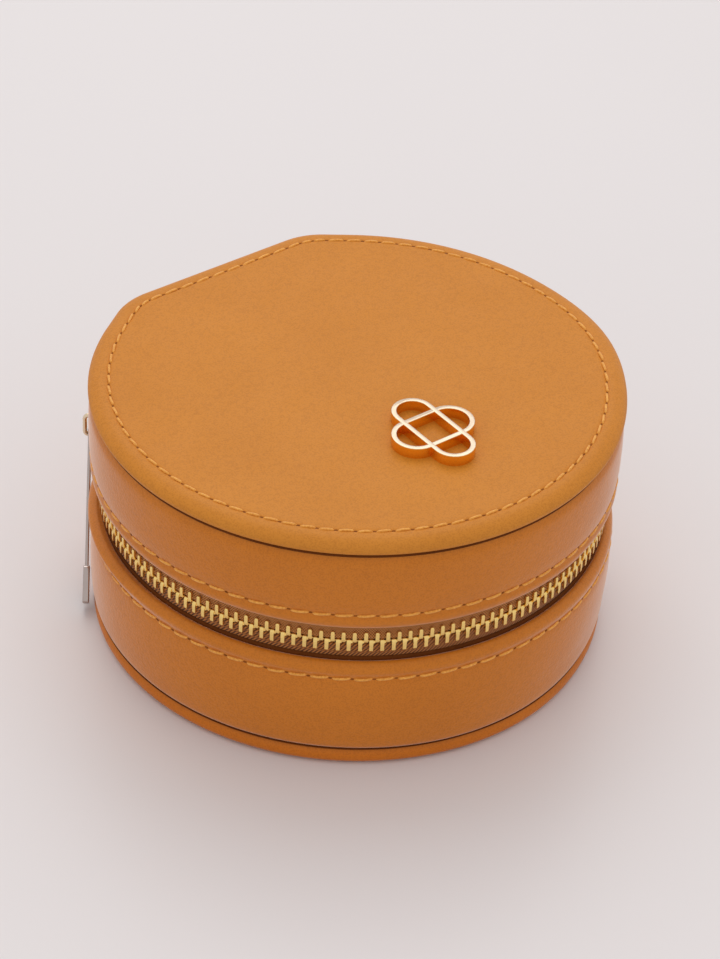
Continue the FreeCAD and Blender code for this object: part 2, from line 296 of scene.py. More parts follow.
def lid_like(name, edge, level, far_level, material, puff=0.0):
    """A panel: an edge profile swept round the outline and closed by a top and a bottom face.
    The edge runs from the first point, on the face at level, round to the last, at far_level."""
    count = int(PLAN / (0.6 * MM) * FINE)
    steps = max(6, int(26 * FINE))
    bm = bmesh.new()
    stations = [plan_point(PLAN * i / count) for i in range(count)]
    edge_rings = [[bm.verts.new((x - nx * inset, y - ny * inset, z)) for x, y, nx, ny in stations]
                  for inset, z in edge]
    join_rings(bm, edge_rings)

    def close(ring, z, height):
        """Closes one face with rings that shrink towards its middle."""
        start = [v.co.copy() for v in ring]
        middle = Vector((*FACE_MIDDLE, z))
        for k in range(1, steps):
            f = k / steps
            fresh = []
            for co in start:
                p = co.lerp(middle, f)
                wave = softness(p.x, p.y, 0.0, 0.06 * MM * min(1.0, 3 * f), 5.0)
                p.z += height * (1 - (1 - f) ** 2) + wave
                fresh.append(bm.verts.new(p))
            join_rings(bm, [ring, fresh])
            ring = fresh
        tip = bm.verts.new(middle + Vector((0, 0, height)))
        for i in range(count):
            bm.faces.new((ring[i], ring[(i + 1) % count], tip))

    close(edge_rings[0], level, puff)
    close(edge_rings[-1], far_level, 0.0)
    return finish_mesh(name, bm, material)


def tube(bm, path, radius, sides):
    """Adds a tube along a path of points, with rounded-off ends, to a bmesh."""
    last = len(path) - 1
    rings = []
    for i, p in enumerate(path):
        ahead = path[min(i + 1, last)] - path[max(i - 1, 0)]
        ahead.normalize()
        side = Vector((0, 0, 1)).cross(ahead).normalized()
        up = ahead.cross(side)
        share = 0.45 if i in (0, last) else 1.0
        rings.append([bm.verts.new(p + side * a + up * b) for a, b in circle(radius * share, sides)])
    join_rings(bm, rings, capped=True)


def add_box(bm, low, high, matrix=None):
    low, high = Vector(low), Vector(high)
    for v in bmesh.ops.create_cube(bm, size=1.0)["verts"]:
        v.co = Vector((low[k] + (v.co[k] + 0.5) * (high[k] - low[k]) for k in range(3)))
        if matrix is not None:
            v.co = matrix @ v.co


def apply_modifiers(obj):
    """Bakes an object's modifiers into its mesh."""
    graph = bpy.context.evaluated_depsgraph_get()
    mesh = bpy.data.meshes.new_from_object(obj.evaluated_get(graph))
    obj.modifiers.clear()
    old = obj.data
    obj.data = mesh
    if old.users == 0:
        bpy.data.meshes.remove(old)
    return obj


def bevelled(obj, width, segments):
    mod = obj.modifiers.new("bevel", "BEVEL")
    mod.width = width
    mod.segments = segments
    mod.limit_method = "ANGLE"
    mod.angle_limit = math.radians(30.0)
    return apply_modifiers(obj)


def smooth_by_angle(obj, degrees):
    mesh = obj.data
    mesh.polygons.foreach_set("use_smooth", [True] * len(mesh.polygons))
    bm = bmesh.new()
    bm.from_mesh(mesh)
    limit = math.radians(degrees)
    for edge in bm.edges:
        edge.smooth = len(edge.link_faces) == 2 and edge.calc_face_angle(0.0) < limit
    bm.to_mesh(mesh)
    bm.free()
    return obj


# ------ materials

class Nodes:
    """A small helper that adds nodes to a material and links them."""

    def __init__(self, name):
        self.material = bpy.data.materials.new(name)
        self.material.use_nodes = True
        self.tree = self.material.node_tree
        self.shader = self.tree.nodes["Principled BSDF"]

    def add(self, kind, **values):
        node = self.tree.nodes.new(kind)
        for key, value in values.items():
            if key in node.inputs:
                node.inputs[key].default_value = value
            else:
                setattr(node, key, value)
        return node

    def link(self, source, target):
        self.tree.links.new(source, target)

    def set(self, **values):
        for key, value in values.items():
            self.shader.inputs[key.replace("_", " ")].default_value = value

    def coordinates(self, kind="Object"):
        return self.add("ShaderNodeTexCoord").outputs[kind]

    def noise(self, source, scale, detail=3.0, rough=0.5):
        node = self.add("ShaderNodeTexNoise", Scale=scale, Detail=detail, Roughness=rough)
        self.link(source, node.inputs["Vector"])
        return node.outputs["Fac"]

    def voronoi(self, source, scale, feature="F1"):
        node = self.add("ShaderNodeTexVoronoi", feature=feature, Scale=scale)
        self.link(source, node.inputs["Vector"])
        return node.outputs["Distance"]

    def ramp(self, source, stops):
        node = self.add("ShaderNodeValToRGB")
        elements = node.color_ramp.elements
        while len(elements) < len(stops):
            elements.new(0.5)
        for element, (position, color) in zip(elements, stops):
            element.position = position
            element.color = (*color, 1.0)
        self.link(source, node.inputs["Fac"])
        return node.outputs["Color"]

    def math(self, operation, a, b=0.5):
        node = self.add("ShaderNodeMath", operation=operation)
        for slot, value in zip(node.inputs, (a, b)):
            if isinstance(value, (int, float)):
                slot.default_value = value
            else:
                self.link(value, slot)
        return node.outputs[0]

    def mix(self, factor, a, b, blend="MIX"):
        node = self.add("ShaderNodeMix", data_type="RGBA", blend_type=blend)
        for slot, value in ((node.inputs[0], factor), (node.inputs[6], a), (node.inputs[7], b)):
            if isinstance(value, (int, float)):
                slot.default_value = value
            elif isinstance(value, tuple):
                slot.default_value = (*value, 1.0)
            else:
                self.link(value, slot)
        return node.outputs[2]

    def bump(self, height, strength, distance, below=None):
        node = self.add("ShaderNodeBump", Strength=strength, Distance=distance)
        self.link(height, node.inputs["Height"])
        if below is not None:
            self.link(below, node.inputs["Normal"])
        return node.outputs["Normal"]

    def color(self, source):
        self.link(source, self.shader.inputs["Base Color"])

    def normal(self, source):
        self.link(source, self.shader.inputs["Normal"])

    def roughness(self, source, low, high):
        node = self.add("ShaderNodeMapRange")
        self.link(source, node.inputs["Value"])
        node.inputs["To Min"].default_value = low
        node.inputs["To Max"].default_value = high
        self.link(node.outputs[0], self.shader.inputs["Roughness"])


def leather(name, light, dark, gloss, shine, sheen):
    """Smooth calf-like leather: fine pebble grain, pores and slow changes of tone."""
    m = Nodes(name)
    coords = m.coordinates()
    slow = m.noise(coords, 34.0, 4.0, 0.55)
    fine = m.noise(coords, 900.0, 2.0, 0.6)
    tone = m.ramp(slow, [(0.3, dark), (0.7, light)])
    pores = m.voronoi(coords, 2600.0)
    specks = m.ramp(m.math("MULTIPLY", pores, fine), [(0.05, (0.80, 0.76, 0.70)), (0.3, (1, 1, 1))])
    m.color(m.mix(0.75, tone, specks, "MULTIPLY"))
    cells = m.voronoi(coords, 1700.0, "SMOOTH_F1")
    m.roughness(m.noise(coords, 160.0, 3.0), gloss - 0.05, gloss + 0.07)
    soft = m.bump(m.noise(coords, 240.0, 3.0), 0.10, 0.0004)
    grain = m.bump(cells, 0.38, 0.00014, soft)
    m.normal(m.bump(fine, 0.30, 0.00010, grain))
    m.set(Specular_IOR_Level=shine, Sheen_Weight=sheen, Sheen_Roughness=0.35)
    m.shader.inputs["Sheen Tint"].default_value = (1.0, 0.86, 0.80, 1.0)
    return m.material


def metal(name, color, rough, scratch=0.03):
    """Polished plated metal with faint brushing and slight changes of gloss."""
    m = Nodes(name)
    coords = m.coordinates()
    darker = tuple(c * 0.93 for c in color)
    m.color(m.ramp(m.noise(coords, 260.0, 3.0), [(0.3, darker), (0.7, color)]))
    m.roughness(m.noise(coords, 700.0, 4.0), rough * 0.7, rough * 1.4)
    m.normal(m.bump(m.noise(coords, 1500.0, 2.0), scratch, 0.00005))
    m.set(Metallic=1.0)
    return m.material


def woven(name, light, dark, warp=1.6, weft=1.6, slant=0.0):
    """Woven tape: two families of threads over the UV map, which is in millimetres."""
    m = Nodes(name)
    uv = m.coordinates("UV")
    parts = m.add("ShaderNodeSeparateXYZ")
    m.link(uv, parts.inputs[0])
    leaning = m.math("ADD", parts.outputs[0], m.math("MULTIPLY", parts.outputs[1], slant))
    a = m.math("SINE", m.math("MULTIPLY", leaning, warp * 2 * math.pi), 0.0)
    b = m.math("SINE", m.math("MULTIPLY", parts.outputs[1], weft * 2 * math.pi), 0.0)
    height = m.math("MULTIPLY", a, b)
    height = m.math("ADD", m.math("MULTIPLY", height, 0.5), 0.5)
    fuzz = m.noise(m.coordinates(), 2600.0, 3.0)
    height = m.math("ADD", m.math("MULTIPLY", height, 0.7), m.math("MULTIPLY", fuzz, 0.3))
    m.color(m.ramp(height, [(0.28, dark), (0.70, light)]))
    m.normal(m.bump(height, 0.7, 0.00018))
    m.set(Roughness=0.85, Specular_IOR_Level=0.25, Sheen_Weight=0.15)
    return m.material


def suede(name, light, dark):
    """Short-napped lining with brushed patches that catch the light differently."""
    m = Nodes(name)
    coords = m.coordinates()
    nap = m.noise(coords, 70.0, 5.0, 0.6)
    fibre = m.noise(coords, 3200.0, 2.0, 0.7)
    tone = m.ramp(nap, [(0.35, dark), (0.65, light)])
    m.color(m.mix(0.25, tone, m.ramp(fibre, [(0.3, dark), (0.7, (1, 0.97, 0.93))]), "MULTIPLY"))
    m.normal(m.bump(fibre, 0.35, 0.0002, m.bump(nap, 0.2, 0.0004)))
    m.set(Roughness=0.95, Specular_IOR_Level=0.15, Sheen_Weight=0.6, Sheen_Roughness=0.4)
    return m.material


def thread_material():
    m = Nodes("thread")
    twist = m.noise(m.coordinates(), 2200.0, 2.0)
    m.color(m.ramp(twist, [(0.3, (0.72, 0.28, 0.024)), (0.7, (0.95, 0.46, 0.075))]))
    m.normal(m.bump(twist, 0.6, 0.0001))
    m.set(Roughness=0.5, Specular_IOR_Level=0.5, Sheen_Weight=0.1)
    return m.material


# Dark spots at the needle holes: painted shade of the small pits where the thread goes in.
def hole_material():
    m = Nodes("needle_hole")
    shade = m.noise(m.coordinates(), 1800.0, 2.0)
    m.color(m.ramp(shade, [(0.3, (0.22, 0.060, 0.006)), (0.7, (0.34, 0.100, 0.012))]))
    m.set(Roughness=0.8, Specular_IOR_Level=0.2)
    return m.material


def board_material():
    m = Nodes("fibre_board")
    coords = m.coordinates()
    fibres = m.noise(coords, 900.0, 5.0, 0.7)
    m.color(m.ramp(fibres, [(0.3, (0.30, 0.25, 0.20)), (0.7, (0.44, 0.38, 0.31))]))
    m.normal(m.bump(m.noise(coords, 2000.0, 3.0), 0.4, 0.0001))
    m.set(Roughness=0.9)
    return m.material


def mirror_material():
    m = Nodes("silvered_glass")
    coords = m.coordinates()
    m.roughness(m.noise(coords, 45.0, 4.0), 0.01, 0.05)
    tint = m.noise(coords, 20.0, 2.0)
    m.color(m.ramp(tint, [(0.3, (0.90, 0.92, 0.92)), (0.7, (0.94, 0.95, 0.95))]))
    m.set(Metallic=1.0)
    return m.material


# Light tone, dark tone, roughness, specular level and sheen
# Top, walls and base panel are one leather: the lighter, yellower top and the darker, redder walls and
# base panel are painted light and shade, fitted to how each face is lit.
LEATHER_TOP = leather("leather_top", (0.665, 0.250, 0.028), (0.625, 0.230, 0.023), 0.50, 0.22, 0.06)
LEATHER_WALL = leather("leather_wall", (0.645, 0.204, 0.014), (0.605, 0.187, 0.011), 0.46, 0.26, 0.85)
LEATHER_EDGE = leather("leather_edge", (0.64, 0.180, 0.010), (0.58, 0.160, 0.008), 0.46, 0.24, 0.20)
# Dark brown painted shade for the creases between leather pieces and for the gap below the base's
# rolled edge.
PAINTED_CREASE_SHADE = leather("painted_crease_shade", (0.150, 0.040, 0.006), (0.105, 0.027, 0.004), 0.60, 0.05, 0.0)
THREAD = thread_material()
NEEDLE_HOLE = hole_material()
TAPE = woven("zip_tape", (0.66, 0.27, 0.072), (0.17, 0.052, 0.010), 1.7, 1.5)
# The base's tape is a darker copy of the lid's: painted shade for its recess below the teeth; the
# slanted weave is the cloth's own.
SHADED_TAPE_TWILL = woven("shaded_zip_tape_twill", (0.50, 0.18, 0.040), (0.09, 0.026, 0.005), 1.1, 0.35, 0.9)
ZIP_METAL = metal("zip_metal", (1.0, 0.72, 0.25), 0.26)
GOLD = metal("gold_plate", (0.84, 0.68, 0.48), 0.16, 0.015)
TAB_METAL = metal("tab_metal", (0.50, 0.43, 0.40), 0.12, 0.015)
# The emblem is one gold metal: its pale face and deep orange sides are painted reflection of the
# bright sky above and the leather beside.
EMBLEM_FACE = metal("emblem_face", (0.66, 0.54, 0.41), 0.28, 0.015)
EMBLEM_SIDE = metal("emblem_side", (1.0, 0.58, 0.10), 0.22, 0.015)
SUEDE = suede("suede_lining", (0.62, 0.47, 0.33), (0.50, 0.36, 0.24))
SUEDE_ROLL = suede("suede_rolls", (0.68, 0.53, 0.38), (0.56, 0.42, 0.29))
BOARD = board_material()
MIRROR = mirror_material()


# ------ camera, light and floor

CAMERA_TARGET = Vector((-20.0, -27.3, 58.4)) * MM
CAMERA_BACK = Vector((-0.4977, -0.6213, 0.6050))    # from the target towards the camera
CAMERA_DISTANCE = 682.0 * MM
CAMERA_ROLL = math.radians(2.80)
CAMERA_LENS = 123.66
SENSOR_WIDTH = 36.0
FLOOR_HALF = 4.0
KEY_PLACE = Vector((0.35, 0.60, 1.10))
KEY_TARGET = Vector((0, 0, 0.03))
KEY_SIZE = (1.0, 1.0)
KEY_POWER = 4.4
WORLD_STRENGTH = 0.775


def make_camera():
    """Looks from the front left of the case, a little over a third of the way up."""
    data = bpy.data.cameras.new("camera")
    data.lens = CAMERA_LENS
    data.sensor_width = SENSOR_WIDTH
    camera = bpy.data.objects.new("camera", data)
    bpy.context.scene.collection.objects.link(camera)
    camera.location = CAMERA_TARGET + CAMERA_BACK * CAMERA_DISTANCE
    roll = Matrix.Rotation(CAMERA_ROLL, 4, "Z")
    turn = (-CAMERA_BACK).to_track_quat("-Z", "Y").to_matrix().to_4x4() @ roll
    camera.matrix_world = Matrix.Translation(camera.location) @ turn
    bpy.context.scene.camera = camera


def make_key_light():
    data = bpy.data.lights.new("key", "AREA")
    data.shape = "RECTANGLE"
    data.size, data.size_y = KEY_SIZE
    data.energy = KEY_POWER
    data.color = (1.0, 0.985, 0.97)
    light = bpy.data.objects.new("key", data)
    bpy.context.scene.collection.objects.link(light)
    light.location = KEY_PLACE
    light.rotation_euler = (KEY_TARGET - KEY_PLACE).to_track_quat("-Z", "Y").to_euler()


def make_studio():
    mesh = bpy.data.meshes.new("floor")
    corners = [(-1, -1), (1, -1), (1, 1), (-1, 1)]
    mesh.from_pydata([(x * FLOOR_HALF, y * FLOOR_HALF, 0) for x, y in corners], [], [(0, 1, 2, 3)])
    floor = new_object("floor", mesh)
    m = Nodes("pale_surface")
    tone = m.noise(m.coordinates(), 3.0, 2.0)
    m.color(m.ramp(tone, [(0.3, (0.785, 0.758, 0.762)), (0.7, (0.805, 0.778, 0.782))]))
    m.set(Roughness=0.35, Specular_IOR_Level=0.35)
    mesh.materials.append(m.material)

    world = bpy.data.worlds.new("studio")
    world.use_nodes = True
    background = world.node_tree.nodes["Background"]
    background.inputs["Color"].default_value = (1.0, 0.970, 0.965, 1.0)
    background.inputs["Strength"].default_value = WORLD_STRENGTH
    bpy.context.scene.world = world
    bpy.context.scene.view_settings.view_transform = "Standard"


make_camera()
make_studio()
make_key_light()


# ------ leather shell

def crease(name, body, points):
    """A narrow dark strip of painted shade in the crease where two leather pieces meet."""
    attach(sweep(name, rounded(points, per=3), PAINTED_CREASE_SHADE), body, "leather")


def make_lid_panel():
    """Top of the lid: padded face, stitched groove and a rolled rim that overhangs the wall."""
    top = LID_TOP / MM
    low = LID_LOW / MM
    edge = rounded([
        (10.0, top - 0.05), (7.2, top - 0.02), (5.6, top - 0.03), (4.95, top - 0.12),
        (4.5, top - 0.30), (4.05, top - 0.14), (3.3, top - 0.06), (2.3, top - 0.22),
        (1.3, top - 0.66), (0.5, top - 1.3), (0.08, top - 2.0), (0.10, top - 2.5),
        (0.24, top - 2.85), (0.50, low + 0.25), (0.85, low + 0.10), (1.9, low + 0.06),
        (3.2, low + 0.04), (8.5, low + 0.05)], closed=False)
    panel = lid_like("lid_panel_leather_skin", edge, LID_TOP - 0.05 * MM, LID_LOW + 0.05 * MM,
                     LEATHER_TOP, puff=0.12 * MM)
    attach(panel, "lid", "leather", "lid_panel_leather")
    # Painted shade: a dark strip in the crevice under the rim's overhang.
    crease("lid_rim_crease_shade", "lid", [(1.0, low - 0.75), (0.72, low - 0.35), (0.82, low + 0.06),
                                     (1.5, low + 0.10), (1.9, low - 0.5)])


def make_base_panel():
    """Bottom panel: the same wrapped construction, a little smaller and half hidden."""
    top = PANEL_TOP / MM
    edge = rounded([
        (10.0, 0.02), (4.2, 0.02), (2.5, 0.10), (1.55, 0.50), (0.95, 1.25), (0.80, 2.0),
        (0.90, 2.8), (1.25, 3.5), (1.8, top - 0.12), (2.8, top), (8.0, top)], closed=False)
    panel = lid_like("base_panel_leather_skin", edge, 0.02 * MM, PANEL_TOP, LEATHER_EDGE)
    attach(panel, "base", "leather", "base_panel_leather")
    # Painted shade: a thin dark line in the crevice where the wall meets the bottom panel's roll.
    crease("base_rim_crease_shade", "base", [(1.02, top + 0.25), (1.12, top - 0.10), (1.5, top - 0.22),
                                       (2.2, top), (1.7, top + 0.40)])


def make_base_wall():
    """Lower wall: bellied, creased along the stitches, with a rolled edge beside the zip."""
    low = PANEL_TOP / MM
    top = WALL_TOP / MM
    profile = rounded([
        (2.3, low + 0.05), (1.7, low + 0.1), (1.05, low + 0.5), (0.55, low + 1.6), (0.28, 8.5),
        (0.12, 12.5), (0.14, 16.5), (0.30, 20.0), (0.50, 22.6), (0.74, 24.1), (0.62, 24.9),
        (0.40, 25.6), (0.42, 26.4), (0.75, top - 0.75), (1.4, top - 0.15), (2.1, top - 0.02),
        (2.7, top - 0.4), (2.95, top - 1.4), (2.92, 23.5), (2.75, 20.0), (2.7, 12.0), (2.7, 6.0)])
    wall = sweep("base_wall_leather_skin", profile, LEATHER_WALL, wave=0.12 * MM, seed=1.0,
                 spread=slouch)
    attach(wall, "base", "leather", "base_wall_leather")
    # Painted shade: a dark band in the gap between the rolled edge and the zip tape.
    crease("base_roll_crease_shade", "base", [(2.55, top - 0.7), (2.75, top + 0.15), (3.05, top + 0.55),
                                        (3.28, top), (3.2, top - 1.5), (2.8, top - 1.6)])


def make_lid_wall():
    low = LID_WALL_LOW / MM
    top = LID_LOW / MM
    profile = rounded([
        (2.3, top - 0.04), (1.7, top - 0.25), (1.20, top - 0.75), (0.66, top - 1.7), (0.30, 54.0),
        (0.14, 51.0), (0.14, 47.0), (0.26, 44.0), (0.48, 42.2), (0.70, 41.2), (0.56, 40.4),
        (0.36, 39.6), (0.42, 38.8), (0.78, low + 0.6), (1.4, low + 0.1), (2.1, low + 0.02),
        (2.65, low + 0.5), (2.8, low + 1.6), (2.72, 42.0), (2.7, 48.0), (2.7, 55.0)])
    wall = sweep("lid_wall_leather_skin", profile, LEATHER_WALL, wave=0.12 * MM, seed=2.0)
    attach(wall, "lid", "leather", "lid_wall_leather")


STITCH_RADIUS = 0.31 * MM
STITCH_GAP = 0.17            # share of the pitch between two stitches
STITCH_SLANT = 0.30 * MM
HOLE_HALF = (0.40 * MM, 0.24 * MM, 0.08 * MM)


def stitch_row(name, body, node, face, out, count, seed):
    """A row of lock stitches along the outline. face gives the inset and height of the leather,
    and out is the direction away from it as (outward share, upward share)."""
    rng = np.random.default_rng(seed)
    bm = bmesh.new()
    holes = bmesh.new()
    inset, z = face
    pitch = PLAN / count
    for i in range(count):
        lean = rng.normal(0.0, 0.05) * MM
        start = pitch * (i + STITCH_GAP / 2)
        length = pitch * (1 - STITCH_GAP) * (1 + rng.normal(0.0, 0.015))
        path = []
        for k in range(9):
            f = k / 8
            t = start + length * f
            arch = math.sin(math.pi * f) ** 0.5
            lift = (-0.16 + 0.30 * arch) * MM
            side = lean + STITCH_SLANT * (f - 0.5)
            level = z + lift * out[1] + side * (1 - out[1])
            depth = inset - lift * out[0] + side * out[1]
            path.append(place(t, depth, level))
        tube(bm, path, STITCH_RADIUS, 8)
        centre = place(pitch * i, inset, z)
        nx, ny = plan_point(pitch * i)[2:]
        outward = Vector((nx * out[0], ny * out[0], out[1])).normalized()
        along = Vector((-ny, nx, 0))
        turn = Matrix((along, outward.cross(along), outward)).transposed().to_4x4()
        spot = Matrix.Translation(centre) @ turn @ Matrix.Diagonal((*HOLE_HALF, 1))
        bmesh.ops.create_uvsphere(holes, u_segments=10, v_segments=6, radius=1.0, matrix=spot)
    threads = finish_mesh(name, bm, THREAD)
    attach(threads, body, "thread", node)
    # Flat dark spots at each needle hole: painted shade.
    dark = finish_mesh(name + "_holes", holes, NEEDLE_HOLE)
    attach(dark, body, "leather")


def make_stitching():
    stitch_row("lid_top_stitches", "lid", "lid_panel_thread", (4.5 * MM, LID_TOP - 0.24 * MM),
               (0.0, 1.0), 86, 3)
    stitch_row("lid_wall_stitches", "lid", "lid_wall_thread", (0.68 * MM, 41.2 * MM),
               (1.0, 0.0), 78, 4)
    stitch_row("base_wall_stitches", "base", "base_wall_thread", (0.72 * MM, 24.1 * MM),
               (1.0, 0.0), 78, 5)


def hinge_strip(name, node, material, profile):
    """A strip behind the case that bends between the base, below low, and the lid, above high."""
    strip = sweep(name, rounded(profile, per=5), material, (-HINGE_HALF, HINGE_HALF), step=0.4)
    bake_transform(strip)
    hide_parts(node)


def make_hinge():
    """The living hinge: leather outside and lining inside."""
    low = WALL_TOP / MM
    high = LID_WALL_LOW / MM
    middle = (low + high) / 2
    outer = [
        (1.75, low - 1.2), (1.50, low + 0.6), (1.55, low + 2.6), (1.80, middle),
        (1.55, high - 2.6), (1.50, high - 0.6), (1.75, high + 1.2), (2.65, high + 1.2),
        (2.8, middle), (2.65, low - 1.2)]
    hinge_strip("hinge_leather_strip", "hinge_leather", LEATHER_WALL, outer)
    low = LINING_TOP / MM
    high = LID_LINING_LOW / MM
    middle = (low + high) / 2
    inner = [
        (4.75, low - 1.4), (4.75, low + 2.0), (4.85, middle), (4.75, high - 2.0),
        (4.75, high + 1.4), (5.65, high + 1.4), (5.75, middle), (5.65, low - 1.4)]
    hinge_strip("hinge_lining_strip", "hinge_lining", SUEDE, inner)


make_lid_panel()
make_base_panel()
make_base_wall()
make_lid_wall()
make_stitching()
make_hinge()


# ------ zip

# Angles round the case in degrees
CHAIN_START = 125.2
CHAIN_END = 400.4
TOOTH_PITCH = 2.377
STOP_ANGLES = (120.8, 404.1)

# Metal parts
STOP_HALF_WIDTH = 0.7 * MM
STOP_CLIPS = ((54.2 * MM, 54.75 * MM), (55.25 * MM, 55.8 * MM))
BRIDGE_WIRE = 0.46 * MM
BAIL_REACH = 4.7 * MM
BAIL_WIRE = 0.5 * MM
BAIL_CORNER = 0.9 * MM
PULL_LEAN = math.radians(42.0)
TAB_OUT = 3.6 * MM           # middle of the tab's thickness, out from the bail's pin
TAB_LENGTH = 38.0 * MM
EYE_R = 1.6 * MM
EYE_START = -0.33            # where the eye's arc leaves the stem, in radians
HOLE_R = 0.85 * MM
STEM_HALF = 1.0 * MM
STEM_END = 30.4 * MM
STEM_THICK = 0.8 * MM
GRIP_HALF = 2.2 * MM
GRIP_START = 29.5 * MM
GRIP_THICK = 1.4 * MM

# The slider in millimetres: how far out its plates and flanges stand, a plate's outline as
# distance along the chain and share of the half height, and half of the bridge's path
WING_SPANS = ((56.2, 57.2), (52.8, 53.8))
FLANGE_SPANS = ((55.55, 56.4), (53.6, 54.45))
WING = ((-4.2, 0.72), (-3.9, 0.93), (-3.2, 1.0), (-1.0, 0.98), (1.2, 0.90), (3.2, 0.80),
        (3.9, 0.68), (4.2, 0.45))
BRIDGE = ((57.1, -3.0), (57.9, -2.85), (58.7, -2.3), (59.05, -1.3), (59.1, 0.0))


def make_tapes():
    """Two tapes with a bead along the teeth. They slope back behind the leather edges."""
    t_range = (HINGE_HALF, PLAN - HINGE_HALF)
    bead_low = ZIP_Z / MM - 0.75
    bead_high = ZIP_Z / MM + 0.45
    low = rounded([
        (2.95, bead_low), (2.55, bead_low - 0.25), (2.60, bead_low - 0.9), (2.82, bead_low - 1.4),
        (2.95, bead_low - 2.4), (3.15, bead_low - 3.4), (3.25, bead_low - 4.6), (3.3, 24.5),
        (3.6, 24.5), (3.6, bead_low - 4.6), (3.5, bead_low - 3.4), (3.35, bead_low - 2.2),
        (3.3, bead_low - 1.0), (3.25, bead_low - 0.1)], per=5)
    # Darker tape cloth here is painted shade.
    tape = sweep("base_zip_tape_cloth", low, SHADED_TAPE_TWILL, t_range)
    attach(tape, "base", "zip_tape", "base_zip_tape")
    high = rounded([
        (2.95, bead_high), (2.55, bead_high + 0.25), (2.58, bead_high + 0.9),
        (2.80, bead_high + 1.5), (2.84, bead_high + 2.6), (2.88, 37.6), (2.92, 39.5),
        (2.92, 41.5), (3.35, 41.5), (3.38, 38.0), (3.32, bead_high + 1.6),
        (3.25, bead_high + 0.2)], per=5)
    tape = sweep("lid_zip_tape_cloth", high, TAPE, t_range)
    attach(tape, "lid", "zip_tape", "lid_zip_tape")


def tooth_mesh(up):
    """One tooth at angle zero: two legs that clamp the tape, and a hooked head that leans in.
    up is +1 for a tooth of the base's tape, whose head points up, and -1 for the lid's."""
    bm = bmesh.new()
    foot = TEETH_LOW if up > 0 else TEETH_HIGH

    def bar(sections):
        """A bar through sections of (out, side, height, half depth, half width) in millimetres."""
        rings = []
        for out, side, height, deep, wide in sections:
            z = foot + up * height * MM
            rings.append([bm.verts.new(((out + sx * deep) * MM, (side + sy * wide) * MM, z))
                          for sx, sy in ((-1, -1), (1, -1), (1, 1), (-1, 1))])
        join_rings(bm, rings, capped=True)

    bar([(55.68, 0.0, 0.0, 0.20, 0.24), (55.68, 0.0, 0.25, 0.30, 0.40),
         (55.68, 0.0, 1.9, 0.31, 0.42), (55.60, 0.0, 2.1, 0.36, 0.44),
         (55.45, 0.0, 2.5, 0.45, 0.46), (55.20, 0.0, 2.85, 0.42, 0.42), (55.0, 0.0, 2.98, 0.25, 0.26)])
    bar([(54.32, 0.0, 0.0, 0.20, 0.24), (54.32, 0.0, 0.25, 0.30, 0.40),
         (54.32, 0.0, 1.9, 0.31, 0.42), (54.45, 0.0, 2.5, 0.40, 0.44), (54.8, 0.0, 2.9, 0.3, 0.36)])
    bar([(54.95, 0.0, 1.85, 0.5, 0.44), (55.0, 0.0, 2.4, 0.75, 0.46), (54.95, 0.0, 2.9, 0.45, 0.38)])
    bar([(55.55, 0.15, 2.0, 0.20, 0.30), (55.52, 0.52, 2.22, 0.24, 0.30),
         (55.42, 0.62, 2.5, 0.22, 0.24), (55.3, 0.5, 2.7, 0.14, 0.16)])
    bmesh.ops.bevel(bm, geom=list(bm.edges), offset=0.09 * MM, segments=2, affect="EDGES",
                    profile=0.6, clamp_overlap=True)
    mesh = bpy.data.meshes.new("tooth")
    bm.to_mesh(mesh)
    bm.free()
    return mesh


def make_teeth():
    count = int((CHAIN_END - CHAIN_START) / TOOTH_PITCH)
    rng = np.random.default_rng(7)
    for name, body, up, shift in (("base_zip_teeth", "base", 1, 0.0),
                                  ("lid_zip_teeth", "lid", -1, 0.5)):
        tooth = tooth_mesh(up)
        bm = bmesh.new()
        for i in range(count):
            angle = math.radians(CHAIN_START + (i + shift) * TOOTH_PITCH + rng.normal(0, 0.03))
            turn = Matrix.Rotation(angle, 4, "Z")
            before = len(bm.verts)
            bm.from_mesh(tooth)
            bm.verts.ensure_lookup_table()
            for v in bm.verts[before:]:
                v.co = turn @ v.co
        row = finish_mesh(name + "_row", bm, ZIP_METAL)
        smooth_by_angle(row, 50)
        attach(row, body, "zip_metal", name)
        bpy.data.meshes.remove(tooth)


def make_slider():
    """Two shaped plates with flanges over the teeth, a wedge between them and a bridge."""
    low = bottom_of("zip_slider")
    high = top_of("zip_slider")
    middle = (low + high) / 2
    half = (high - low) / 2
    wing = [(along * MM, middle + half * share) for along, share in WING]
    wing += [(along * MM, middle - half * share) for along, share in reversed(WING)]
    bm = bmesh.new()
    for span in WING_SPANS:
        faces = [[bm.verts.new((out * MM, a, b)) for a, b in wing] for out in span]
        join_rings(bm, faces, capped=True)
    body = finish_mesh("zip_slider_body", bm, ZIP_METAL, False)
    bevelled(body, 0.28 * MM, 3)
    bm = bmesh.new()
    bm.from_mesh(body.data)
    outer, inner = half * 0.80, half * 0.80 - 0.6 * MM
    for out, end in FLANGE_SPANS:
        for sign in (-1, 1):
            low, high = sorted((middle + sign * inner, middle + sign * outer))
            add_box(bm, (out * MM, -3.2 * MM, low), (end * MM, 3.4 * MM, high))
    add_box(bm, (53.7 * MM, -3.9 * MM, middle - 0.7 * MM), (56.3 * MM, -2.5 * MM, middle + 0.7 * MM))
    bridge = BRIDGE + tuple((out, -along) for out, along in reversed(BRIDGE[:-1]))
    tube(bm, [Vector((out * MM, along * MM, middle)) for out, along in bridge], BRIDGE_WIRE, 12)
    bm.to_mesh(body.data)
    bm.free()
    smooth_by_angle(body, 35)
    body.data.transform(SLIDER_TURN)
    attach(body, "slider", "zip_metal", "zip_slider")


